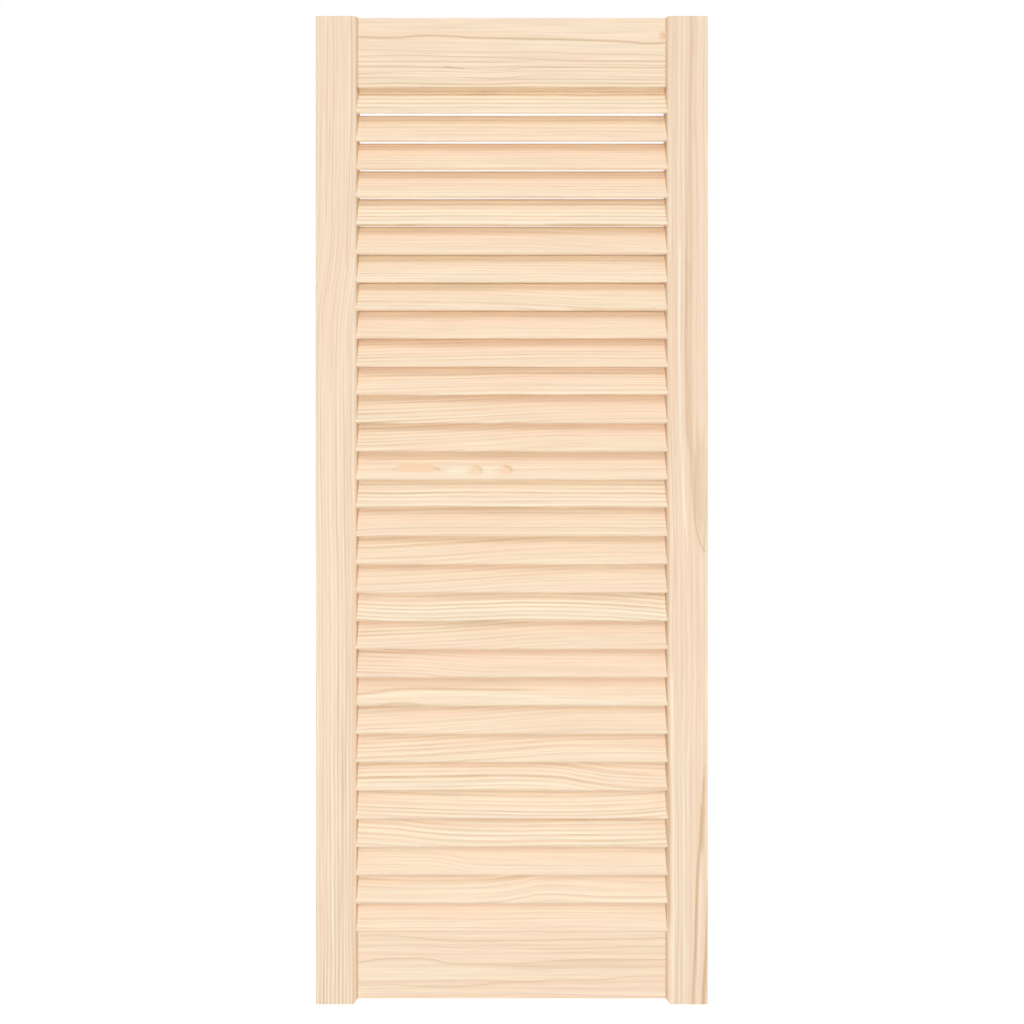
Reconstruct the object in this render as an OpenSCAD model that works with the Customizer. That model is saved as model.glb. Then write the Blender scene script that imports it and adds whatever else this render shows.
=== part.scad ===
// Louvred cabinet door: two stiles, two rails and a row of fixed slats, joined with dowels.
// Millimetres. +X to the right, -Y out of the front face, +Z up.
// Origin at the middle of the leaf's thickness and width, level with the stiles' lower ends.

/* [Door leaf] */
// Width across both stiles
door_w = 394; // [300:1:600]
// Height of the stiles
door_h = 993; // [400:1:1380]
// Thickness of the stiles
stile_t = 21; // [20:0.5:30]
// Width of each stile
stile_w = 41; // [35:1:70]
// Radius rounded onto the stiles' inner long edges
inner_round = 3; // [1:0.5:5]
// Radius that eases the stiles' outer long edges
outer_ease = 1; // [0.5:0.25:3]
// Length of the horns, the stile ends that stand past the bottom rail
horn = 4; // [2:0.5:10]
// Chamfer on the inner corner of each horn
horn_chamfer = 3.5; // [1:0.5:5]

/* [Rails] */
// Height of the top rail
top_rail_h = 70; // [45:1:120]
// Height of the bottom rail
bottom_rail_h = 74; // [45:1:120]
// Thickness of both rails
rail_t = 15; // [12:0.5:19]
// Radius that eases the rails' long edges
rail_ease = 0.5; // [0.25:0.25:2]

/* [Slats] */
// Width of a slat from edge to edge
slat_w = 36; // [30:0.5:37]
// Thickness of a slat, whose edges are full half rounds
slat_t = 5; // [4:0.25:6.5]
// Slope of the slats above level, front edge low
slat_angle = 63; // [62:0.5:75]
// Wanted height from one slat to the next
slat_pitch = 28.5; // [26:0.5:40]
// How far the first and last slat reach into the rails
rail_lap = 6.5; // [2:0.5:10]
// How far a slat's end reaches into its stile
slat_seat = 8; // [4:0.5:12]
// Gap all round a slat in its mortise and rebate
slat_play = 0.15; // [0.05:0.05:0.4]
// Gap between a slat's end and the floor of its mortise
slat_end_play = 0.3; // [0.1:0.1:1]

/* [Dowels] */
// Diameter of a dowel
dowel_d = 8; // [6:0.5:10]
// Length of a dowel, half of it in each piece
dowel_len = 40; // [30:1:50]
// Height from a rail's edge to the nearer dowel
dowel_inset = 16; // [13:0.5:20]
// Number of glue flutes round a dowel
flute_count = 12; // [8:1:16]
// Depth of a glue flute
flute_depth = 0.4; // [0.2:0.1:0.6]
// Chamfer at a dowel's ends
dowel_chamfer = 1; // [0.5:0.25:2]
// Gap round a dowel in its hole, on the radius
dowel_play = 0.05; // [0.02:0.01:0.1]
// Gap between a dowel's end and the floor of its hole
dowel_end_play = 1; // [0.5:0.5:3]

/* [Hidden] */
// A cut runs this far past the face that it opens
past = 1;
$fn = 48;

// Clear width between the stiles, and clear height between the rails
opening_w = door_w - 2 * stile_w;
opening_low = horn + bottom_rail_h;
opening_high = door_h - top_rail_h;

// The slats fill the opening evenly, and the end ones lap the rails
slat_half_h = (slat_w - slat_t) / 2 * sin(slat_angle) + slat_t / 2;
end_inset = slat_half_h - rail_lap;
slat_run = opening_high - opening_low - 2 * end_inset;
slat_count = round(slat_run / slat_pitch) + 1;
slat_step = slat_run / (slat_count - 1);
slat_len = opening_w + 2 * slat_seat;
mortise_depth = slat_seat + slat_end_play;

hole_r = dowel_d / 2 + dowel_play;
hole_depth = dowel_len / 2 + dowel_end_play;

RAILS = ["top", "bottom"];
SIDES = ["left", "right"];
ROWS = ["upper", "lower"];

function slat_name(i) = str("slat_", i < 10 ? "0" : "", i);
function slat_z(i) = opening_high - end_inset - (i - 1) * slat_step;
function dowel_name(rail, side, row) = str("dowel_", rail, "_", side, "_", row);
function side_sign(side) = side == "left" ? -1 : 1;
function rail_low(rail) = rail == "top" ? opening_high : horn;
function rail_high(rail) = rail == "top" ? door_h : opening_low;
function dowel_z(rail, row) =
    row == "upper" ? rail_high(rail) - dowel_inset : rail_low(rail) + dowel_inset;

PINE = [0.97, 0.88, 0.77];
PINE_SLAT = [0.98, 0.90, 0.79];
BEECH = [0.86, 0.70, 0.52];

// A rectangle with a quarter round of its own radius at the corners on each side in X
module rounded_bar(w, t, left_r, right_r) {
    translate([left_r - w / 2, -t / 2]) square([w - left_r - right_r, t]);
    translate([-w / 2, left_r - t / 2]) square([left_r, t - 2 * left_r]);
    translate([w / 2 - right_r, right_r - t / 2]) square([right_r, t - 2 * right_r]);
    for (up = [-1, 1]) {
        translate([left_r - w / 2, up * (t / 2 - left_r)]) circle(left_r);
        translate([w / 2 - right_r, up * (t / 2 - right_r)]) circle(right_r);
    }
}

// A slat's cross-section: two flat faces between half-round edges
module slat_section(gap) {
    flat = slat_w - slat_t;
    translate([-flat / 2, -slat_t / 2 - gap]) square([flat, slat_t + 2 * gap]);
    for (edge = [-1, 1]) translate([edge * flat / 2, 0]) circle(slat_t / 2 + gap);
}

// A bar along X with a slat's section, at the height of slat number i
module slat_bar(i, x_low, x_high, gap) {
    translate([x_low, 0, slat_z(i)])
        rotate([90, 0, 90])
            linear_extrude(x_high - x_low)
                rotate(slat_angle)
                    slat_section(gap);
}

module dowel_hole(x_low, z) {
    translate([x_low, 0, z]) rotate([0, 90, 0]) cylinder(h = hole_depth + past, r = hole_r);
}

// Drawn as the right stile, inner face at opening_w / 2, and mirrored for the left
module stile() {
    inner = opening_w / 2;
    difference() {
        translate([inner + stile_w / 2, 0, 0])
            linear_extrude(door_h)
                rounded_bar(stile_w, stile_t, inner_round, outer_ease);
        for (i = [1:slat_count])
            slat_bar(i, inner - past, inner + mortise_depth, slat_play);
        for (rail = RAILS, row = ROWS)
            dowel_hole(inner - past, dowel_z(rail, row));
        horn_cut(inner);
    }
}

module horn_cut(inner) {
    translate([inner, stile_t / 2 + past, 0])
        rotate([90, 0, 0])
            linear_extrude(stile_t + 2 * past)
                polygon([
                    [-past, -past],
                    [horn_chamfer + past, -past],
                    [-past, horn_chamfer + past]
                ]);
}

module stile_left() {
    color(PINE) mirror([1, 0, 0]) stile();
}

module stile_right() {
    color(PINE) stile();
}

// A rail with the rebate that takes the slat next to it
module rail(which, slat) {
    low = rail_low(which);
    high = rail_high(which);
    end = opening_w / 2;
    difference() {
        translate([-end, 0, (low + high) / 2])
            rotate([90, 0, 90])
                linear_extrude(opening_w)
                    rounded_bar(rail_t, high - low, rail_ease, rail_ease);
        slat_bar(slat, -end - past, end + past, slat_play);
        for (row = ROWS) {
            dowel_hole(end - hole_depth, dowel_z(which, row));
            dowel_hole(-end - past, dowel_z(which, row));
        }
    }
}

module rail_top() {
    color(PINE) rail("top", 1);
}

module rail_bottom() {
    color(PINE) rail("bottom", slat_count);
}

module slat(i) {
    color(PINE_SLAT) slat_bar(i, -slat_len / 2, slat_len / 2, 0);
}

// Half of a dowel's outline, turned about its axis
module dowel_blank() {
    r = dowel_d / 2;
    half = dowel_len / 2;
    rotate_extrude()
        polygon([
            [0, -half],
            [r - dowel_chamfer, -half],
            [r, dowel_chamfer - half],
            [r, half - dowel_chamfer],
            [r - dowel_chamfer, half],
            [0, half]
        ]);
}

module dowel(rail, side, row) {
    color(BEECH)
        translate([side_sign(side) * opening_w / 2, 0, dowel_z(rail, row)])
            rotate([0, 90, 0])
                difference() {
                    dowel_blank();
                    for (f = [0:flute_count - 1])
                        rotate(f * 360 / flute_count)
                            translate([dowel_d / 2, 0, -dowel_len / 2 - past])
                                cylinder(h = dowel_len + 2 * past, r = flute_depth);
                }
}

stile_left();
stile_right();
rail_top();
rail_bottom();
for (i = [1:slat_count])
    slat(i);
for (rail = RAILS, side = SIDES, row = ROWS)
    dowel(rail, side, row);
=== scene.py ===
"""Looks of a louvred cabinet door in unfinished pine: each piece's timber, the light and the camera."""

import math

import bpy
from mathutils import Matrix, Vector


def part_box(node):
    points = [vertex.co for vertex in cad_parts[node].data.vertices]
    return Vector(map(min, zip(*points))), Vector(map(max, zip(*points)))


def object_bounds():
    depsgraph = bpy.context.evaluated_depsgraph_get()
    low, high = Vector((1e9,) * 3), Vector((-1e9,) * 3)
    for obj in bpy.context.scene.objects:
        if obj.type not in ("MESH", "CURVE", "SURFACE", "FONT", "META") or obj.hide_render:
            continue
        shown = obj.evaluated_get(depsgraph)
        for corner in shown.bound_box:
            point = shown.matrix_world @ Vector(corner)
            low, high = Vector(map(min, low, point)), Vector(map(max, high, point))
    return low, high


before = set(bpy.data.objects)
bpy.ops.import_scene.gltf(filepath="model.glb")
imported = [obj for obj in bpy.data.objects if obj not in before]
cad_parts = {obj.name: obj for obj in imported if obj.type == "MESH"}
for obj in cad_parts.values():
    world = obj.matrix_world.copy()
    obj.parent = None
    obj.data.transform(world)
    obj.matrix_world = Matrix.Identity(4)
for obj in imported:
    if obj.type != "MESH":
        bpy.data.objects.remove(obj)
cad_low, cad_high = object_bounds()

# Slope of the slats above level, front edge low, as in the frame
SLAT_ANGLE = math.radians(63)

# The camera stands level in front of the door: its sensor and lens in millimetres, its place in metres
SENSOR_WIDTH = 36
LENS = 28
VIEW_DISTANCE = 0.800
CAMERA_SIDE = 0.00025
CAMERA_HEIGHT = 0.4947

# A tall key light above a soft one in front: degrees above level, metres from the door's middle, metres
# wide and high, and watts
KEY_RISE = 37
KEY_DISTANCE = 6.0
KEY_SIZE = (0.8, 2.6)
KEY_POWER = 63.0
FRONT_RISE = -5
FRONT_DISTANCE = 2.8
FRONT_SIZE = (0.42, 0.42)
FRONT_POWER = 38.6

# The floor is a pale disc that glows, so that it looks white
FLOOR_RADIUS = 9.0
FLOOR_CORNERS = 64
FLOOR_PALE = (0.50, 0.50, 0.50, 1)
FLOOR_ROUGHNESS = 0.9
FLOOR_GLOW = 0.80

# The sky shines from above. It also shines from below, as a lit floor would: from steeply below on all
# sides, and from further up behind the door.
SKY_ABOVE = 0.57
SKY_BELOW = 1.47
SKY_BEHIND = 1.6
SKY_SHOWN = 1.0
# Where its light comes in or fades out, as the upward part of a direction of length 1, and its backward
# part in the last
HORIZON = (-0.05, 0.05)
STEEPLY_BELOW = (-0.80, -0.70)
BELOW_BEHIND = (-0.45, -0.35)
BACKWARDS = (0.0, 0.3)

# Colours of planed pine and beech, as linear light
WHITE = (1, 1, 1, 1)
SPRINGWOOD_CREAM = (0.960, 0.850, 0.665, 1)
SPRINGWOOD_YELLOW = (0.930, 0.765, 0.570, 1)
SPRINGWOOD_PINK = (0.935, 0.720, 0.540, 1)
SUMMERWOOD = (0.660, 0.440, 0.235, 1)
BAND_WOOD = (0.840, 0.590, 0.410, 1)
KNOT_WOOD = (0.925, 0.650, 0.430, 1)
END_GRAIN = (0.700, 0.520, 0.350, 1)
BEECH_LIGHT = (0.620, 0.430, 0.290, 1)
BEECH_DARK = (0.450, 0.280, 0.170, 1)

# Shine and relief of planed wood, the relief in metres, and how dark the line of a joint is: partly glue
# and dirt, partly painted shade of the crease where two parts meet
SPECULAR = 0.30
BUMP_STRENGTH = 0.35
BUMP_DEPTH = 0.0001
JOINT_DIRT_AND_SHADE = 0.85

# Sizes of the lumps of noise along, across and into a board, in millimetres
DRIFT_SIZE = (110, 40, 40)
RIPPLE_SIZE = (28, 12, 12)
PATCH_SIZE = (130, 12, 30)
BREAK_SIZE = (42, 2.5, 8)
CAST_SIZE = (170, 16, 26)
BAND_SIZE = (420, 7, 9)
STREAK_SIZE = (90, 1.5, 2.2)
FIBRE_SIZE = (34, 0.5, 0.5)
DUCT_SIZE = (11, 0.32, 0.32)
VESSEL_SIZE = (9, 0.25, 0.25)
FLECK_SIZE = (3.0, 0.5, 0.12)
# The same for how the width of a year changes, over years
GROWTH_SIZE = (1.8, 1.0, 1.0)

# Most of a noise's values lie between these
NOISE_SPAN = (0.3, 0.7)
# How far a seed of 1 moves a noise
SEED_STEP = (7.3, 3.1, 5.7)
# How far grain strays over long and short stretches, in millimetres, for a noise from 0 to 1
DRIFT = 3.0
RIPPLE = 0.6
# How much the years differ in width, and a whole number of them that keeps their count above 0
UNEVENNESS = 1.5
YEARS_BEFORE = 200.0
# How strongly colour drifts from yellow to pink, how strongly spring wood gleams, and how dark a duct is
CAST = 2.2
GLEAM = 2.2
DUCT_DARK = 0.07
# How much of its own colour end grain takes on, in pine and in beech
PINE_END = 0.55
BEECH_END = 0.5
# A face is end grain where the part of its normal along the board lies above these
END_ON = (0.6, 0.9)

MILLIMETRES = 1000.0
# Room above a line's highest point in the curve that draws it
CURVE_ROOM = 1.2


class Graph:
    """Short calls that add a node to a tree and hand back its output."""

    def __init__(self, tree):
        self.tree = tree

    def node(self, kind, **settings):
        made = self.tree.nodes.new(kind)
        for name, value in settings.items():
            setattr(made, name, value)
        return made

    def feed(self, socket, value):
        """Links value to the socket, or sets it there if it is a plain number, vector or colour."""
        if isinstance(value, bpy.types.NodeSocket):
            self.tree.links.new(value, socket)
        else:
            socket.default_value = value

    def maths(self, operation, *values, clamp=False):
        made = self.node("ShaderNodeMath", operation=operation, use_clamp=clamp)
        for socket, value in zip(made.inputs, values):
            self.feed(socket, value)
        return made.outputs[0]

    def vector(self, operation, *values):
        made = self.node("ShaderNodeVectorMath", operation=operation)
        for socket, value in zip(made.inputs, values):
            self.feed(socket, value)
        return made.outputs["Value" if operation == "DOT_PRODUCT" else "Vector"]

    def scaled(self, vector, factor):
        made = self.node("ShaderNodeVectorMath", operation="SCALE")
        self.feed(made.inputs["Vector"], vector)
        self.feed(made.inputs["Scale"], factor)
        return made.outputs["Vector"]

    def join(self, x, y, z):
        made = self.node("ShaderNodeCombineXYZ")
        for socket, value in zip(made.inputs, (x, y, z)):
            self.feed(socket, value)
        return made.outputs[0]

    def split(self, vector):
        made = self.node("ShaderNodeSeparateXYZ")
        self.feed(made.inputs[0], vector)
        return made.outputs[0], made.outputs[1], made.outputs[2]

    def span(self, value, low, high, to_low=0.0, to_high=1.0, kind="LINEAR"):
        """value carried from low..high to to_low..to_high, and held at those ends."""
        made = self.node("ShaderNodeMapRange", interpolation_type=kind, clamp=True)
        for socket, given in zip(made.inputs, (value, low, high, to_low, to_high)):
            self.feed(socket, given)
        return made.outputs[0]

    def mix(self, factor, first, second):
        made = self.node("ShaderNodeMix", data_type="RGBA")
        self.feed(made.inputs["Factor"], factor)
        colours = [socket for socket in made.inputs if socket.type == "RGBA"]
        self.feed(colours[0], first)
        self.feed(colours[1], second)
        return next(socket for socket in made.outputs if socket.type == "RGBA")

    def ramp(self, factor, stops):
        made = self.node("ShaderNodeValToRGB")
        elements = made.color_ramp.elements
        while len(elements) < len(stops):
            elements.new(0.5)
        for element, (place, shade) in zip(elements, stops):
            element.position = place
            element.color = (shade, shade, shade, 1)
        self.feed(made.inputs[0], factor)
        return made.outputs["Color"]

    def line(self, along, points):
        """How far across a smooth line through the points, of (along, across), runs here."""
        length = max(abs(x) for x, _ in points)
        height = CURVE_ROOM * max(abs(y) for _, y in points)
        made = self.node("ShaderNodeFloatCurve")
        curve = made.mapping.curves[0]
        while len(curve.points) < len(points):
            curve.points.new(0.5, 0.5)
        for handle, (x, y) in zip(curve.points, points):
            handle.location = (0.5 + 0.5 * x / length, 0.5 + 0.5 * y / height)
        made.mapping.update()
        self.feed(made.inputs["Value"], self.span(along, -length, length))
        return self.span(made.outputs["Value"], 0.0, 1.0, -height, height)

    def noise(self, position, size, seed=0.0, detail=2.0, roughness=0.5):
        """Noise whose lumps measure size, in position's units: (value, vector), both about a half."""
        stretched = self.vector("DIVIDE", position, size)
        moved = self.vector("ADD", stretched, self.scaled(SEED_STEP, seed))
        made = self.node("ShaderNodeTexNoise")
        self.feed(made.inputs["Vector"], moved)
        made.inputs["Scale"].default_value = 1.0
        made.inputs["Detail"].default_value = detail
        made.inputs["Roughness"].default_value = roughness
        return made.outputs[0], made.outputs[1]


def make_wander_group():
    """A place on a board, moved a little across the grain, as grain is never quite straight."""
    tree = bpy.data.node_groups.new("wander", "ShaderNodeTree")
    face = tree.interface
    face.new_socket("Position", in_out="INPUT", socket_type="NodeSocketVector")
    face.new_socket("Wander", in_out="INPUT", socket_type="NodeSocketFloat")
    face.new_socket("Seed", in_out="INPUT", socket_type="NodeSocketFloat")
    face.new_socket("Position", in_out="OUTPUT", socket_type="NodeSocketVector")
    g = Graph(tree)
    given = g.node("NodeGroupInput").outputs
    place, seed = given["Position"], given["Seed"]
    half = (0.5, 0.5, 0.5)
    drift = g.vector("SUBTRACT", g.noise(place, DRIFT_SIZE, seed, 1.0)[1], half)
    ripple = g.vector("SUBTRACT", g.noise(place, RIPPLE_SIZE, seed, 1.0)[1], half)
    strayed = g.vector("ADD", g.scaled(drift, DRIFT), g.scaled(ripple, RIPPLE))
    wandering = g.scaled(strayed, given["Wander"])
    moved = g.vector("ADD", place, g.vector("MULTIPLY", wandering, (0, 1, 1)))
    g.feed(g.node("NodeGroupOutput").inputs["Position"], moved)
    return tree


# What the pine group is told about a board, with the values of a plain one. Lengths are in millimetres.
PINE_INPUTS = {
    "Heart Across": -90.0,
    "Heart Depth": -20.0,
    "Year Width": 4.2,
    "Crowding": 0.0,
    "Figure": 0.40,
    "Figure Along": 0.0,
    "Figure Across": 0.0,
    "Gleam": 0.50,
    "Bands": 0.25,
    "Yellow": 0.5,
    "Brightness": 1.0,
    "Seed": 0.0,
}
# Figure Along is the change of figure over this length, and Figure Across over this width
FIGURE_LENGTH = 150.0
FIGURE_WIDTH = 18.0
# How dark a year's wood is, from the start of spring to the end of summer, and how pale
LATE_PROFILE = (
    (0.00, 0.35),
    (0.09, 0.00),
    (0.36, 0.00),
    (0.62, 0.32),
    (0.80, 0.95),
    (0.90, 1.00),
    (1.00, 0.35),
)
EARLY_PROFILE = (
    (0.00, 0.10),
    (0.16, 1.00),
    (0.32, 0.70),
    (0.55, 0.00),
    (1.00, 0.10),
)


def make_pine_group():
    """The figure of pine on a board: year rings round a heart line, fibres and resin ducts."""
    tree = bpy.data.node_groups.new("pine", "ShaderNodeTree")
    face = tree.interface
    face.new_socket("Position", in_out="INPUT", socket_type="NodeSocketVector")
    for name in ("Course", "Strokes", "Gleams", "Stain", "End"):
        face.new_socket(name, in_out="INPUT", socket_type="NodeSocketFloat")
    for name, value in PINE_INPUTS.items():
        made = face.new_socket(name, in_out="INPUT", socket_type="NodeSocketFloat")
        made.default_value = value
    face.new_socket("Color", in_out="OUTPUT", socket_type="NodeSocketColor")
    face.new_socket("Roughness", in_out="OUTPUT", socket_type="NodeSocketFloat")
    face.new_socket("Height", in_out="OUTPUT", socket_type="NodeSocketFloat")
    g = Graph(tree)
    given = g.node("NodeGroupInput").outputs
    seed = given["Seed"]

    # Distance from the heart line, once the board's grain is laid straight
    along, across, depth = g.split(given["Position"])
    across = g.maths("SUBTRACT", across, given["Course"])
    straight = g.join(along, across, depth)
    heart_across, heart_depth = given["Heart Across"], given["Heart Depth"]
    out_across = g.maths("SUBTRACT", across, heart_across)
    out_depth = g.maths("SUBTRACT", depth, heart_depth)
    out_square = g.maths("POWER", out_across, 2.0)
    radius = g.maths("SQRT", g.maths("MULTIPLY_ADD", out_depth, out_depth, out_square))
    heart_square = g.maths("POWER", heart_across, 2.0)
    middle = g.maths("SQRT", g.maths("MULTIPLY_ADD", heart_depth, heart_depth, heart_square))

    # Years, of uneven width and strength
    even = g.maths("DIVIDE", g.maths("SUBTRACT", radius, middle), given["Year Width"])
    crowded = g.maths("MULTIPLY_ADD", g.maths("MULTIPLY", even, even), given["Crowding"], even)
    growth = g.noise(g.join(crowded, seed, 0.0), GROWTH_SIZE, seed, 1.0)[0]
    uneven = g.maths("MULTIPLY_ADD", g.maths("SUBTRACT", growth, 0.5), UNEVENNESS, crowded)
    years = g.maths("ADD", uneven, YEARS_BEFORE)
    season = g.maths("FRACT", years)
    chance = g.node("ShaderNodeTexWhiteNoise", noise_dimensions="2D")
    g.feed(chance.inputs["Vector"], g.join(g.maths("FLOOR", years), seed, 0.0))
    strength = g.span(g.maths("POWER", chance.outputs["Value"], 1.5), 0.0, 1.0, 0.25, 1.1)
    early = g.ramp(season, EARLY_PROFILE)
    late = g.ramp(season, LATE_PROFILE)

    # The figure fades in and out over the board, and each line along its length
    patches = g.span(g.noise(straight, PATCH_SIZE, seed)[0], *NOISE_SPAN, 0.5, 1.4)
    part_along = g.maths("DIVIDE", along, FIGURE_LENGTH)
    part_across = g.maths("DIVIDE", across, FIGURE_WIDTH)
    faded = g.maths("MULTIPLY_ADD", given["Figure Along"], part_along, given["Figure"])
    faded = g.maths("MULTIPLY_ADD", given["Figure Across"], part_across, faded)
    figure = g.maths("MULTIPLY", g.maths("MAXIMUM", faded, 0.05), patches)
    broken = g.span(g.noise(straight, BREAK_SIZE, seed)[0], *NOISE_SPAN, 0.6, 1.3)
    lines = g.maths("MULTIPLY", g.maths("MULTIPLY", late, strength), g.maths("MULTIPLY", figure, broken))
    dark = g.maths("ADD", lines, given["Strokes"], clamp=True)
    gleaming = g.maths("MULTIPLY", g.maths("MULTIPLY", early, figure), given["Gleam"])
    pale = g.maths("MULTIPLY_ADD", gleaming, GLEAM, given["Gleams"], clamp=True)

    # Colour, with long fibres, paler streaks and the dark dashes of resin ducts
    cast = g.maths("SUBTRACT", g.noise(straight, CAST_SIZE, seed)[0], 0.5)
    yellow = g.maths("ADD", g.maths("MULTIPLY", cast, CAST), given["Yellow"], clamp=True)
    spring = g.mix(yellow, SPRINGWOOD_PINK, SPRINGWOOD_YELLOW)
    broad = g.span(g.noise(straight, BAND_SIZE, seed, 1.0)[0], 0.40, 0.72)
    spring = g.mix(g.maths("MULTIPLY", broad, given["Bands"]), spring, BAND_WOOD)
    wood = g.mix(dark, g.mix(pale, spring, SPRINGWOOD_CREAM), SUMMERWOOD)
    streaks = g.noise(straight, STREAK_SIZE, seed)[0]
    fibres = g.noise(straight, FIBRE_SIZE, seed, 3.0, 0.6)[0]
    ducts = g.span(g.noise(straight, DUCT_SIZE, seed, 1.0)[0], 0.70, 0.80)
    light = g.span(streaks, *NOISE_SPAN, 0.94, 1.06)
    light = g.maths("MULTIPLY", light, g.span(fibres, 0.25, 0.75, 0.96, 1.04))
    light = g.maths("MULTIPLY", light, g.maths("MULTIPLY_ADD", ducts, -DUCT_DARK, 1.0))
    light = g.maths("MULTIPLY", light, given["Brightness"])
    wood = g.mix(given["Stain"], wood, KNOT_WOOD)
    wood = g.mix(g.maths("MULTIPLY", given["End"], PINE_END), wood, END_GRAIN)
    wood = g.scaled(wood, light)

    # Fibres stand up a little, and summer wood planes smoother and stays proud
    height = g.maths("MULTIPLY_ADD", fibres, 0.5, g.maths("MULTIPLY", late, 0.25))
    height = g.maths("SUBTRACT", height, g.maths("MULTIPLY", ducts, 0.3))
    roughness = g.maths("MULTIPLY_ADD", dark, -0.10, g.span(fibres, 0.2, 0.8, 0.56, 0.68))
    out = g.node("NodeGroupOutput").inputs
    g.feed(out["Color"], wood)
    g.feed(out["Roughness"], roughness)
    g.feed(out["Height"], height)
    return tree


WANDER = make_wander_group()
PINE = make_pine_group()


def new_material(name):
    """A material with its shader and a graph of its nodes."""
    made = bpy.data.materials.new(name)
    made.use_nodes = True
    return made, made.node_tree.nodes["Principled BSDF"], Graph(made.node_tree)


def planed(g, shader, height):
    """Gives a shader the low relief and the faint shine of planed wood."""
    bump = g.node("ShaderNodeBump")
    bump.inputs["Strength"].default_value = BUMP_STRENGTH
    bump.inputs["Distance"].default_value = BUMP_DEPTH
    g.feed(bump.inputs["Height"], height)
    g.feed(shader.inputs["Normal"], bump.outputs["Normal"])
    shader.inputs["Specular IOR Level"].default_value = SPECULAR


def board_position(g, node, along, across, outward):
    """Place on a board in millimetres, along the grain, across the face and out of it, and how end-on."""
    low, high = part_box(node)
    place = g.node("ShaderNodeTexCoord").outputs
    offset = g.scaled(g.vector("SUBTRACT", place["Object"], tuple((low + high) / 2)), MILLIMETRES)
    parts = [g.vector("DOT_PRODUCT", offset, tuple(axis)) for axis in (along, across, outward)]
    end_on = g.maths("ABSOLUTE", g.vector("DOT_PRODUCT", place["Normal"], tuple(along)))
    return g.join(*parts), g.span(end_on, *END_ON)


def stroke(g, along, across, points, above, below, strength, fade=18.0):
    """One line through points, of dark or pale wood. It fades out above, below and past its two ends."""
    off = g.maths("SUBTRACT", across, g.line(along, points))
    mask = g.maths(
        "MULTIPLY",
        g.span(off, 0.0, above, 1.0, 0.0, "SMOOTHSTEP"),
        g.span(off, -below, 0.0, 0.0, 1.0, "SMOOTHSTEP"),
    )
    start, end = points[0][0], points[-1][0]
    mask = g.maths("MULTIPLY", mask, g.span(along, start - fade, start))
    mask = g.maths("MULTIPLY", mask, g.span(along, end, end + fade, 1.0, 0.0))
    return g.maths("MULTIPLY", mask, strength)


def knot(g, along, across, place, size, squareness, strength, rim):
    """A small knot or streak of resin: how stained the wood is, and how dark its rim at the upper right.

    A streak has a rim of 0 and is stained evenly. A knot is stained less at its lower left.
    """
    sideways = g.maths("DIVIDE", g.maths("SUBTRACT", along, place[0]), size[0])
    upward = g.maths("DIVIDE", g.maths("SUBTRACT", across, place[1]), size[1])
    spread = [g.maths("POWER", g.maths("ABSOLUTE", part), squareness) for part in (sideways, upward)]
    distance = g.maths("POWER", g.maths("ADD", *spread), 1.0 / squareness)
    if not rim:
        return g.span(distance, 0.75, 1.10, strength, 0.0, "SMOOTHSTEP"), 0.0
    towards = g.maths("ADD", sideways, upward)
    stain = g.span(distance, 0.30, 1.10, strength, 0.0, "SMOOTHSTEP")
    stain = g.maths("MULTIPLY", stain, g.span(towards, -1.0, 0.2, 0.25, 1.0))
    ring = g.maths(
        "MULTIPLY",
        g.span(distance, 0.50, 0.85, 0.0, rim, "SMOOTHSTEP"),
        g.span(distance, 0.85, 1.15, 1.0, 0.0, "SMOOTHSTEP"),
    )
    return stain, g.maths("MULTIPLY", ring, g.span(towards, 0.3, 1.2))


def marks(g, along, across, strokes, gleams, knots):
    """How dark, how pale and how stained a board's own lines and knots make its wood."""
    dark = 0.0
    for line in strokes:
        dark = g.maths("MAXIMUM", dark, stroke(g, along, across, *line))
    pale = 0.0
    for line in gleams:
        pale = g.maths("MAXIMUM", pale, stroke(g, along, across, *line))
    stained = 0.0
    for spot in knots:
        stain, rim = knot(g, along, across, *spot)
        stained = g.maths("MAXIMUM", stained, stain)
        dark = g.maths("MAXIMUM", dark, rim)
    return dark, pale, stained


def pine(
    name, node, axes, skin=None, joint=None, wander=1.0,
    course=(), strokes=(), gleams=(), knots=(), **board
):
    """A pine material for one board, whose own numbers are those of PINE_INPUTS.

    skin is the depth from the board's middle over which its strokes and gleams come up, on a thick board.
    joint is the distance from the middle over which the dark line at its ends comes up: partly glue and
    dirt in the joint, partly painted shade of its crease.
    """
    made, shader, g = new_material(name)
    place, end = board_position(g, node, *axes)
    wandering = g.node("ShaderNodeGroup", node_tree=WANDER)
    g.feed(wandering.inputs["Position"], place)
    wandering.inputs["Wander"].default_value = wander
    wandering.inputs["Seed"].default_value = board["seed"]
    position = wandering.outputs["Position"]
    wood = g.node("ShaderNodeGroup", node_tree=PINE)
    g.feed(wood.inputs["Position"], position)
    g.feed(wood.inputs["End"], end)
    along, across, depth = g.split(position)
    if course:
        g.feed(wood.inputs["Course"], g.line(along, course))
    dark, pale, stained = marks(g, along, across, strokes, gleams, knots)
    if joint:
        # Dark ends of a board: partly glue and dirt, partly painted shade of the joint's crease
        dark = g.maths("MAXIMUM", dark, g.span(g.maths("ABSOLUTE", along), *joint, 0.0, JOINT_DIRT_AND_SHADE))
    if skin:
        outer = g.span(g.maths("ABSOLUTE", depth), *skin)
        dark = g.maths("MULTIPLY", dark, outer)
        pale = g.maths("MULTIPLY", pale, outer)
    g.feed(wood.inputs["Strokes"], dark)
    g.feed(wood.inputs["Gleams"], pale)
    g.feed(wood.inputs["Stain"], stained)
    for key, value in board.items():
        wood.inputs[key.replace("_", " ").title()].default_value = value
    g.feed(shader.inputs["Base Color"], wood.outputs["Color"])
    g.feed(shader.inputs["Roughness"], wood.outputs["Roughness"])
    planed(g, shader, wood.outputs["Height"])
    return made


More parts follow.
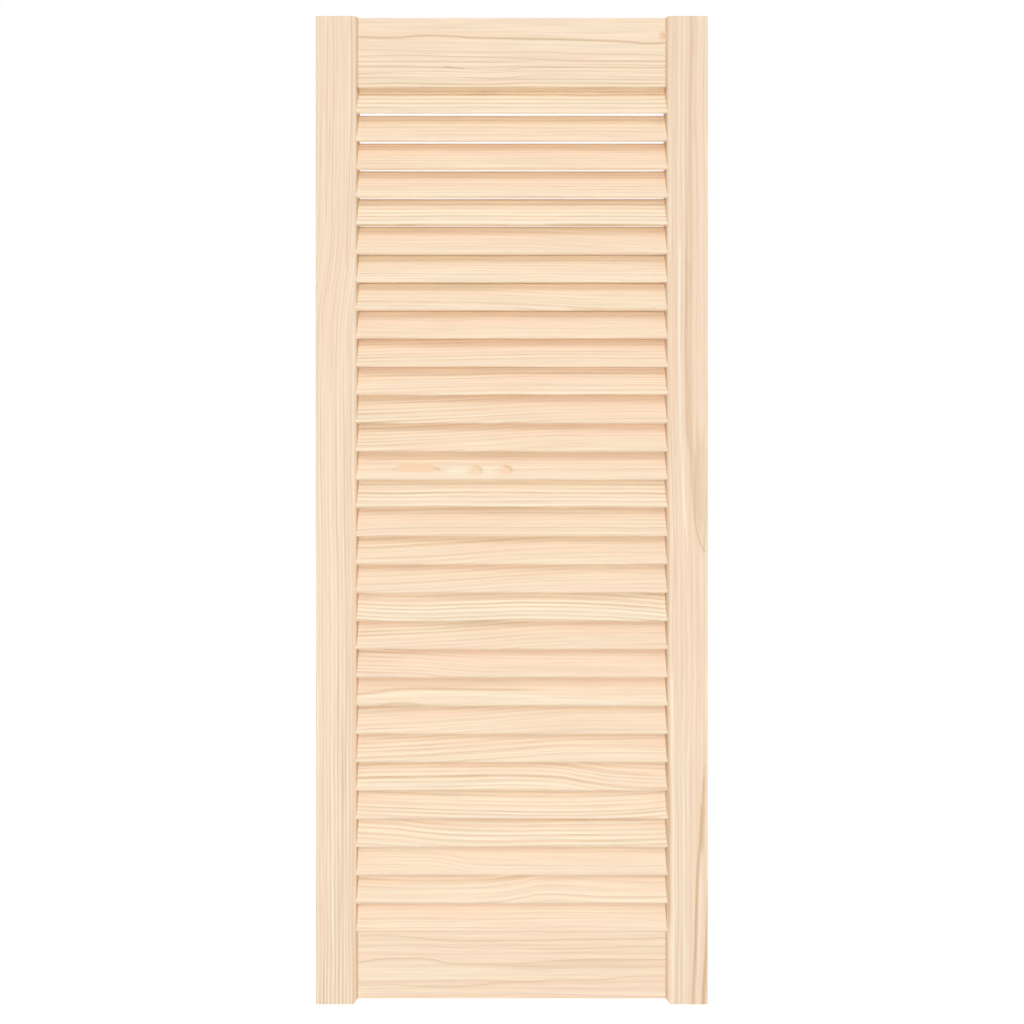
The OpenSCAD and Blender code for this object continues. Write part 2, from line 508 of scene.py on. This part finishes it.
def beech(name, node, seed):
    """Beech of a dowel: short dark flecks and fine vessels along it."""
    made, shader, g = new_material(name)
    place, end = board_position(g, node, X_AXIS, Z_AXIS, -Y_AXIS)
    vessels = g.noise(place, VESSEL_SIZE, seed)[0]
    flecks = g.span(g.noise(place, FLECK_SIZE, seed, 1.0)[0], 0.62, 0.72)
    flecks = g.maths("MULTIPLY", flecks, 0.4)
    shade = g.maths("ADD", g.span(vessels, *NOISE_SPAN, 0.0, 0.6), flecks, clamp=True)
    wood = g.mix(shade, BEECH_LIGHT, BEECH_DARK)
    g.feed(shader.inputs["Base Color"], g.mix(g.maths("MULTIPLY", end, BEECH_END), wood, BEECH_DARK))
    g.feed(shader.inputs["Roughness"], g.span(vessels, 0.2, 0.8, 0.50, 0.62))
    planed(g, shader, vessels)
    return made


def wear(node, material):
    """Puts a material on a CAD node."""
    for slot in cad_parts[node].material_slots:
        slot.material = material


X_AXIS = Vector((1, 0, 0))
Y_AXIS = Vector((0, 1, 0))
Z_AXIS = Vector((0, 0, 1))
# Directions along, across and out of the front face of each kind of board
STILE_AXES = (Z_AXIS, -X_AXIS, -Y_AXIS)
RAIL_AXES = (X_AXIS, Z_AXIS, -Y_AXIS)
SLAT_AXES = (
    X_AXIS,
    Vector((0, math.cos(SLAT_ANGLE), math.sin(SLAT_ANGLE))),
    Vector((0, -math.sin(SLAT_ANGLE), math.cos(SLAT_ANGLE))),
)

# Seeds of each kind of piece, counted up from these
SLAT_SEED = 1.0
STILE_SEED = 51.0
RAIL_SEED = 61.0
DOWEL_SEED = 81.0

# Boards, in millimetres from their middle. A course is how the grain runs across a board, from its left
# or lower end to the other one. A row of strokes or gleams is what stroke() is given: points, above,
# below, strength and fade. A row of knots is for knot(): place, size, squareness, strength and rim.

# Kinds of slat
PLAIN = dict(year_width=5.2, figure=0.16, gleam=0.3)
FINE = dict(year_width=4.0, figure=0.36)
BOLD = dict(year_width=4.9, figure=0.62, gleam=0.8, yellow=0.8, bands=0.1)
RISING = dict(
    year_width=4.3,
    figure=0.36,
    figure_along=-0.14,
    course=((-170, -8.5), (-110, -6), (-50, -2.5), (10, 2), (60, 4.5), (110, 5), (170, 5)),
)
SLATS = (
    dict(BOLD, year_width=6.2, figure=0.60, yellow=1.0),
    dict(FINE, year_width=4.6, figure=0.28, wander=1.8, yellow=0.4),
    dict(FINE, figure=0.30, figure_along=-0.10, yellow=0.2),
    dict(FINE, figure=0.38, yellow=0.5, wander=0.6),
    dict(BOLD, year_width=5.4, yellow=1.0, wander=0.6),
    dict(PLAIN, course=((-170, 1), (0, 1), (60, -2), (120, -5), (170, -6)), yellow=0.7),
    dict(FINE, year_width=3.6, figure=0.42, gleam=0.8, yellow=0.8, wander=1.4),
    dict(FINE, figure=0.34, yellow=0.9, course=((-170, 4), (-30, 3), (40, -1), (90, -4), (170, -5))),
    dict(PLAIN, yellow=0.6, wander=2.0),
    dict(FINE, figure=0.50, yellow=0.3, course=((-170, -4), (-70, -1), (0, 0.5), (170, 1))),
    dict(FINE, figure=0.66, yellow=0.3, course=((-170, -4), (-60, -1), (0, 0.5), (170, 0.5))),
    dict(RISING, yellow=0.5),
    dict(RISING, yellow=0.5),
    dict(
        PLAIN,
        figure=0.26,
        figure_across=0.14,
        yellow=0.7,
        knots=(
            ((-97, -5.6), (19.0, 4.6), 6.0, 0.85, 0.0),
            ((-38, -9.8), (8.5, 7.5), 2.0, 0.75, 0.60),
            ((-7.5, -9.4), (8.5, 7.5), 2.0, 0.90, 0.75),
        ),
        strokes=(
            (((-114, -1.4), (-80, -1.4)), 1.0, 2.4, 0.24, 2.0),
            (((-121, -7.2), (-116, -6.8)), 1.6, 1.6, 0.36, 2.5),
            (((-79, -5.2), (-76, -6.4), (-73.5, -6.8)), 2.0, 2.0, 0.62, 1.5),
            (((-37, -4.4), (-33, -5.0)), 1.8, 1.8, 0.40, 2.5),
            (((-7, -4.4), (-2, -5.4)), 1.8, 1.8, 0.55, 2.5),
            (((0, -8.0), (4, -7.8)), 1.4, 1.4, 0.24, 2.5),
            (((-170, 5.5), (-60, 5.0), (170, 5.5)), 1.2, 1.2, 0.34),
            (((-10, 11), (170, 11)), 1.2, 1.2, 0.30, 40.0),
        ),
        gleams=(
            (((-62, -8), (-48, -8)), 6.0, 6.0, 0.90, 6.0),
            (((-28, -8), (-20, -8)), 6.0, 6.0, 0.90, 6.0),
        ),
    ),
    dict(BOLD, figure=0.66, year_width=5.0, yellow=0.8, wander=1.3),
    dict(FINE, figure=0.52, yellow=0.4, course=((-170, -3), (-70, 0), (170, 0.5))),
    dict(RISING, yellow=0.5),
    dict(RISING, yellow=0.5),
    dict(
        BOLD,
        year_width=4.4,
        figure=0.66,
        yellow=1.0,
        course=(
            (-170, 5), (-135, 1), (-110, 0), (-40, 1.5),
            (30, 3), (90, 1.5), (130, -1.5), (170, -6),
        ),
    ),
    dict(RISING, yellow=0.5),
    dict(
        FINE,
        figure=0.26,
        figure_along=-0.22,
        yellow=0.3,
        course=((-170, 5), (-110, 3.5), (-60, 0), (-20, -2), (40, -2.5), (170, -2.5)),
    ),
    dict(
        PLAIN,
        figure=0.10,
        yellow=0.8,
        wander=0.5,
        strokes=(
            (((-160, -8), (-129, -4.2), (-105, -1.7), (-72, -1.7), (-19, -2.7), (0, -3)), 4.5, 1.2,
              0.50, 40.0),
            (((-150, -1), (-100, 3), (0, 3)), 4.0, 5.0, 0.14, 40.0),
            (((-130, -16.5), (-112, -15), (-95, -16.5)), 1.5, 4.0, 0.40, 8.0),
            (((-10, 4), (60, 2), (170, 3)), 5.0, 2.0, 0.16, 40.0),
        ),
        gleams=(
            (((-150, -9), (-100, -5), (-20, -6), (15, -8), (60, -13), (100, -15)), 2.0, 6.0, 0.70,
              20.0),
        ),
    ),
    dict(RISING, yellow=0.5),
    dict(RISING, yellow=0.5),
    dict(
        BOLD,
        year_width=4.4,
        figure=0.54,
        yellow=0.3,
        gleam=0.6,
        course=((-170, -1), (-60, 1.5), (0, 2.5), (40, 1), (75, -4), (110, -8.5), (170, -10.5)),
    ),
    dict(
        BOLD,
        year_width=4.3,
        figure=0.60,
        yellow=0.3,
        gleam=0.5,
        wander=0.6,
        course=((-170, 1), (-40, -3.5), (50, -5), (100, -4), (170, 2.5)),
    ),
    dict(
        FINE,
        year_width=4.8,
        figure=0.44,
        gleam=0.8,
        yellow=0.7,
        course=((-170, 7), (-120, 5), (-80, 1), (-40, -1), (60, -1), (170, 0.5)),
    ),
    dict(
        FINE,
        figure=0.24,
        figure_across=0.22,
        yellow=0.5,
        course=((-170, 4), (-85, 3.5), (-60, 1), (-30, -2.5), (20, -3.5), (170, -3.5)),
    ),
    dict(
        PLAIN,
        year_width=6.5,
        figure=0.46,
        yellow=0.5,
        course=(
            (-170, -1), (-100, -3), (-45, -3), (-10, -1), (15, 3),
            (35, 5.5), (60, 5), (100, 3.5), (170, 3),
        ),
    ),
    dict(FINE, figure=0.24, yellow=0.3, wander=0.7),
)
# How bright the lower slats are, how much painted light brightens the top one where the lamps light less,
# and over how many slats that fades
SLAT_BRIGHTNESS = 1.018
TOP_PAINTED_LIGHT = 0.045
PAINTED_LIGHT_SLATS = 17
for index, board in enumerate(SLATS):
    node = f"slat_{index + 1:02d}"
    # Painted light: the upper slats are painted brighter than their wood, less so further down
    bright = SLAT_BRIGHTNESS + TOP_PAINTED_LIGHT * max(0.0, 1 - index / PAINTED_LIGHT_SLATS)
    look = pine(f"pine_{node}", node, SLAT_AXES, seed=SLAT_SEED + index, brightness=bright, **board)
    wear(node, look)

# Depth from a stile's middle over which strokes and gleams come up, to keep them off its outer edges
STILE_SKIN = (4.5, 8.5)
STILES = {
    "stile_left": dict(
        year_width=3.6,
        brightness=0.99,
        figure=0.43,
        figure_along=-0.10,
        gleam=0.5,
        yellow=0.35,
        course=((-500, 9), (-120, 10), (120, 12), (180, 11), (215, 8), (250, 3.5), (290, 1), (500, 0)),
        strokes=(
            (((254, -10.8), (350, -13.8), (425, -15.8), (500, -15.8)), 1.0, 1.0, 0.55),
            (((300, 9.5), (400, 9.3), (480, 9.0)), 0.9, 0.9, 0.45),
            (((-260, -8), (-120, -10), (0, -8.5), (60, -8)), 1.0, 3.5, 0.34, 60.0),
            (((-400, -4.5), (-300, -5.5), (-230, -5)), 1.0, 3.0, 0.30, 40.0),
            (((-480, -16.2), (-300, -15.8), (-120, -16.0)), 0.9, 0.9, 0.34, 40.0),
            (((-500, -13.6), (-100, -13.4), (170, -13.8)), 2.8, 2.8, 0.20, 60.0),
        ),
        gleams=(
            (((-420, 4), (-300, 4.5), (-250, 5)), 0.8, 0.8, 0.90, 40.0),
            (((-330, -3), (-240, -2.5)), 0.8, 0.8, 0.90, 30.0),
        ),
        knots=(
            ((-250, -18.6), (330.0, 3.4), 8.0, 0.40, 0.0),
        ),
    ),
    "stile_right": dict(
        year_width=5.5,
        brightness=0.985,
        figure=0.22,
        bands=0.40,
        yellow=0.15,
        strokes=(
            (((249, 2.0), (300, 0.5), (350, -0.8), (400, -1.5), (500, -2.0)), 1.0, 10.0, 0.30),
            (((-2, -7.8), (48, -5.3), (69, -0.3), (99, 1.8), (149, 2.3), (249, 2.2)), 1.0, 12.0, 0.42),
            (((60, -2.5), (100, 0), (150, 0.5)), 2.0, 7.0, 0.46, 45.0),
            (((-41, -16.4), (-24, -10.0), (-2, -6.7), (40, -5.2)), 1.0, 3.2, 0.58, 3.0),
            (((-41, -16.6), (-27, -18.4), (-2, -19.2), (60, -19.5)), 2.6, 0.8, 0.36, 3.0),
            (((-8, -12.5), (60, -12.0)), 6.0, 6.5, 0.34, 34.0),
            (((-500, -5.5), (-454, -7), (-404, -8.5), (-353, -10.5), (-328, -13), (-303, -14.3),
              (-278, -15.6)), 1.6, 3.4, 0.72, 30.0),
            (((-335, -13), (-300, -14.3)), 2.6, 5.0, 0.80, 16.0),
            (((-500, -15), (-454, -17.6), (-416, -19.3), (-378, -20.6)), 1.8, 5.5, 0.72),
            (((-500, 10), (-250, 9), (0, 12), (120, 14), (300, 15)), 1.0, 1.0, 0.30, 60.0),
            (((-60, 13), (60, 16), (250, 17)), 1.0, 1.4, 0.36, 40.0),
            (((-400, 19.0), (-350, 18.6), (-270, 18.4), (-235, 19.4)), 2.4, 3.2, 0.66, 30.0),
            (((-235, 19.4), (-140, 20), (-20, 20.2)), 2.0, 3.4, 0.34, 60.0),
            (((150, 14.8), (500, 14.4)), 1.4, 1.4, 0.16, 60.0),
            (((-150, 14.8), (-60, 14.8)), 1.8, 1.8, 0.24, 20.0),
        ),
        gleams=(
            (((-480, 14.2), (-300, 14.4), (-190, 15.0)), 1.8, 2.4, 0.85, 30.0),
            (((-10, 2), (70, 6), (150, 7.5), (249, 8)), 2.4, 2.4, 0.90, 40.0),
            (((-500, -10), (-440, -11.5), (-380, -13)), 2.0, 2.0, 0.70, 20.0),
            (((-500, 2), (-350, 2), (-250, 0)), 5.0, 5.0, 0.45, 40.0),
        ),
    ),
}
for index, (node, board) in enumerate(STILES.items()):
    look = pine(f"pine_{node}", node, STILE_AXES, skin=STILE_SKIN, seed=STILE_SEED + index, **board)
    wear(node, look)

# Distance from a rail's middle over which the dark line at its ends comes up: partly dirt in the joint,
# partly painted shade where the rail meets the stile
RAIL_JOINT_DIRT_AND_SHADE = (154.2, 155.2)
RAILS = {
    "rail_top": dict(
        heart_across=62,
        heart_depth=-22,
        year_width=4.4,
        crowding=0.012,
        figure=0.20,
        figure_across=-0.10,
        gleam=0.7,
        brightness=1.02,
        yellow=0.60,
        wander=0.8,
        strokes=(
            (((-160, 15.6), (-114, 15), (-94, 16.6), (-59, 16.2), (-39, 14.6), (1, 13.6), (42, 13),
              (82, 12), (118, 10), (138, 8.6), (160, 9.8)), 2.6, 1.0, 0.78),
            (((-160, 2.5), (-79, 1.5), (-31, 0.5), (34, 0.5), (62, -0.9), (160, -3.1)), 1.3, 0.9, 0.40),
            (((-160, -3.9), (-94, -3.1), (-59, -4.1), (-19, -4.9), (17, -6.6), (62, -8), (160, -9.6)),
              1.2, 0.8, 0.48),
            (((-160, -14), (-67, -14.8), (-47, -16), (-29, -17.2), (-3, -17.6), (13, -15.6),
              (42, -15.2), (160, -16.6)), 1.2, 0.8, 0.46),
            (((-66, -14.8), (-50, -15.8)), 1.6, 1.0, 0.80, 8.0),
            (((-160, -21.7), (-79, -19.3), (-19, -20.1), (15, -19.1), (160, -20.7)), 1.0, 0.8, 0.40),
            (((-160, -26), (-79, -24.7), (-31, -25.3), (-15, -26.7), (13, -24.1), (42, -23.3),
              (160, -25.3)), 1.0, 0.8, 0.44),
            (((-160, -32.2), (-94, -30.8), (-15, -32.2), (13, -30.8), (160, -31.4)), 1.0, 0.8, 0.46),
            (((-160, -29), (-40, -28.6), (13, -27.6), (160, -28.4)), 0.9, 0.7, 0.32),
            (((152, 17.0), (157, 16.5)), 5.5, 6.0, 0.85, 4.0),
            (((-160, -9), (-60, -9.2), (17, -11.5), (62, -12.2), (160, -13.4)), 1.0, 0.8, 0.30),
        ),
        knots=(
            ((154.0, 16.5), (8.0, 4.5), 2.0, 0.35, 0.0),
        ),
    ),
    "rail_bottom": dict(
        heart_across=-80,
        heart_depth=-30,
        year_width=6.0,
        figure=0.15,
        bands=0.50,
        brightness=1.035,
        yellow=0.40,
        strokes=(
            (((-160, 26), (-114, 26.4), (-94, 24.8), (-71, 22), (-31, 20.7), (52, 22.4), (160, 25)),
              1.0, 1.4, 0.42),
            (((-160, 15.3), (-124, 16.9), (-79, 16.3), (-47, 13.9), (-19, 13.3), (92, 14.7),
              (122, 16.3), (160, 15.3)), 1.0, 1.3, 0.36),
            (((-160, -3), (-144, 1.2), (-104, 3.8), (-79, 2.2), (-59, -1.4), (-19, -1.8), (21, -0.4),
              (62, 2.2), (102, 3), (160, 2.6)), 1.0, 2.0, 0.50),
            (((10, -2), (62, 1), (102, 2), (160, 1.6)), 2.0, 15.0, 0.24, 50.0),
            (((-116, -23), (-39, -24), (-15, -21), (17, -20), (42, -17.6), (92, -17.6), (122, -14.9),
              (160, -14.9)), 1.2, 1.2, 0.38),
            (((-160, -23.5), (-120, -23)), 1.4, 1.4, 0.16, 20.0),
            (((40, 30), (100, 29.5), (160, 31)), 1.0, 1.0, 0.22),
            (((60, 10), (110, 11), (160, 10)), 1.0, 1.0, 0.26, 30.0),
        ),
    ),
}
for index, (node, board) in enumerate(RAILS.items()):
    look = pine(f"pine_{node}", node, RAIL_AXES, joint=RAIL_JOINT_DIRT_AND_SHADE, seed=RAIL_SEED + index, **board)
    wear(node, look)

dowels = sorted(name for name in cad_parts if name.startswith("dowel_"))
for index, node in enumerate(dowels):
    wear(node, beech(f"beech_{node}", node, DOWEL_SEED + index))

centre = (cad_low + cad_high) / 2


def area_light(name, rise, distance, size, power):
    """A lamp that faces the door's middle, from level in front of it at a rise of 0 to over it at 90."""
    data = bpy.data.lights.new(name, "AREA")
    data.shape = "RECTANGLE"
    data.size, data.size_y = size
    data.energy = power
    lamp = bpy.data.objects.new(name, data)
    bpy.context.scene.collection.objects.link(lamp)
    lift = math.radians(rise)
    place = centre + distance * Vector((0, -math.cos(lift), math.sin(lift)))
    lamp.location = place
    lamp.rotation_euler = (centre - place).to_track_quat("-Z", "Y").to_euler()
    lamp.visible_camera = False


area_light("key", KEY_RISE, KEY_DISTANCE, KEY_SIZE, KEY_POWER)
area_light("front", FRONT_RISE, FRONT_DISTANCE, FRONT_SIZE, FRONT_POWER)

# The floor, which the sky's lower half stands in for where it lights the door
floor_data = bpy.data.meshes.new("floor")
turns = [math.tau * step / FLOOR_CORNERS for step in range(FLOOR_CORNERS)]
corners = [(FLOOR_RADIUS * math.cos(turn), FLOOR_RADIUS * math.sin(turn), 0) for turn in turns]
floor_data.from_pydata(corners, [], [tuple(range(FLOOR_CORNERS))])
floor = bpy.data.objects.new("floor", floor_data)
bpy.context.scene.collection.objects.link(floor)
floor_look, floor_shader, _ = new_material("floor")
floor_shader.inputs["Base Color"].default_value = FLOOR_PALE
floor_shader.inputs["Roughness"].default_value = FLOOR_ROUGHNESS
floor_shader.inputs["Specular IOR Level"].default_value = 0.0
floor_shader.inputs["Emission Color"].default_value = WHITE
floor_shader.inputs["Emission Strength"].default_value = FLOOR_GLOW
floor_data.materials.append(floor_look)
floor.visible_diffuse = False
floor.visible_glossy = False
floor.visible_shadow = False

sky = bpy.data.worlds.new("studio")
sky.use_nodes = True
g = Graph(sky.node_tree)
_, backward, upward = g.split(g.node("ShaderNodeTexCoord").outputs["Generated"])
from_above = g.span(upward, *HORIZON, 0.0, SKY_ABOVE)
from_below = g.span(upward, *STEEPLY_BELOW, SKY_BELOW, 0.0)
behind = g.span(backward, *BACKWARDS, 0.0, SKY_BEHIND)
from_behind = g.maths("MULTIPLY", behind, g.span(upward, *BELOW_BEHIND, 1.0, 0.0))
shining = g.maths("ADD", from_above, g.maths("MAXIMUM", from_below, from_behind))
seen = g.node("ShaderNodeLightPath").outputs["Is Camera Ray"]
background = sky.node_tree.nodes["Background"]
background.inputs["Color"].default_value = WHITE
g.feed(background.inputs["Strength"], g.span(seen, 0.0, 1.0, shining, SKY_SHOWN))
bpy.context.scene.world = sky
bpy.context.scene.view_settings.view_transform = "Standard"

camera_data = bpy.data.cameras.new("camera")
camera_data.sensor_width = SENSOR_WIDTH
camera_data.lens = LENS
camera = bpy.data.objects.new("camera", camera_data)
bpy.context.scene.collection.objects.link(camera)
front_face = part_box("stile_left")[0].y
camera.location = (CAMERA_SIDE, front_face - VIEW_DISTANCE, CAMERA_HEIGHT)
camera.rotation_euler = (math.radians(90), 0, 0)
bpy.context.scene.camera = camera
